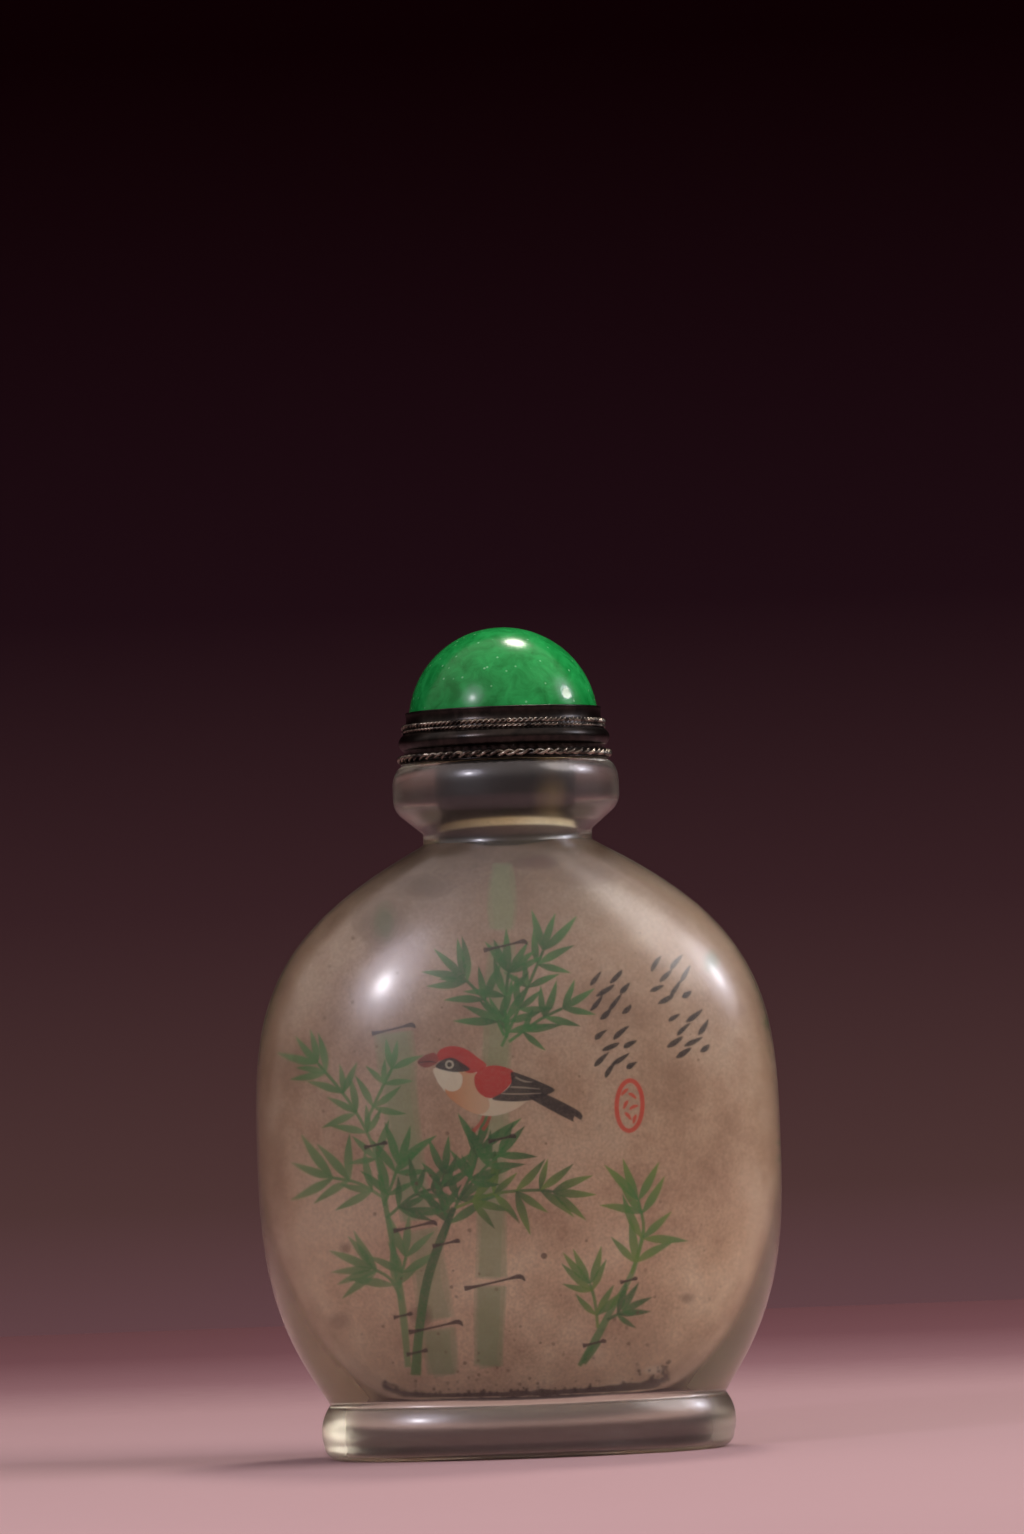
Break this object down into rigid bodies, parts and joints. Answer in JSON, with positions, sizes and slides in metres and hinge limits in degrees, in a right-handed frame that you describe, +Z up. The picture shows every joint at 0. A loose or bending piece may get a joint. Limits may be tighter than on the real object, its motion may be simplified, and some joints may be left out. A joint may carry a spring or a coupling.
{
  "type": "snuff bottle",
  "caption": "Flattened clear glass bottle on an oval foot, painted inside, with a thick ring lip and a domed stopper in a metal collar.",
  "frame": {"origin": "under the middle of the foot, on the surface that the bottle stands on", "axes": "+Z up through the neck and the stopper, +X across the width, -Y out of the painted front"},
  "size_m": [0.0508, 0.03, 0.0802],
  "materials": {
    "clear_glass": "polished outside, faintly frosted inside",
    "tarnished_metal": "dark tarnish, rubbed bright on the edges",
    "green_stone": "polished, faintly mottled",
    "cork": "aged cork"
  },
  "bodies": {
    "root": {"glass_bottle": "clear_glass", "stopper_collar": "tarnished_metal", "stopper_cabochon": "green_stone", "stopper_cork": "cork"}
  },
  "joints": []
}
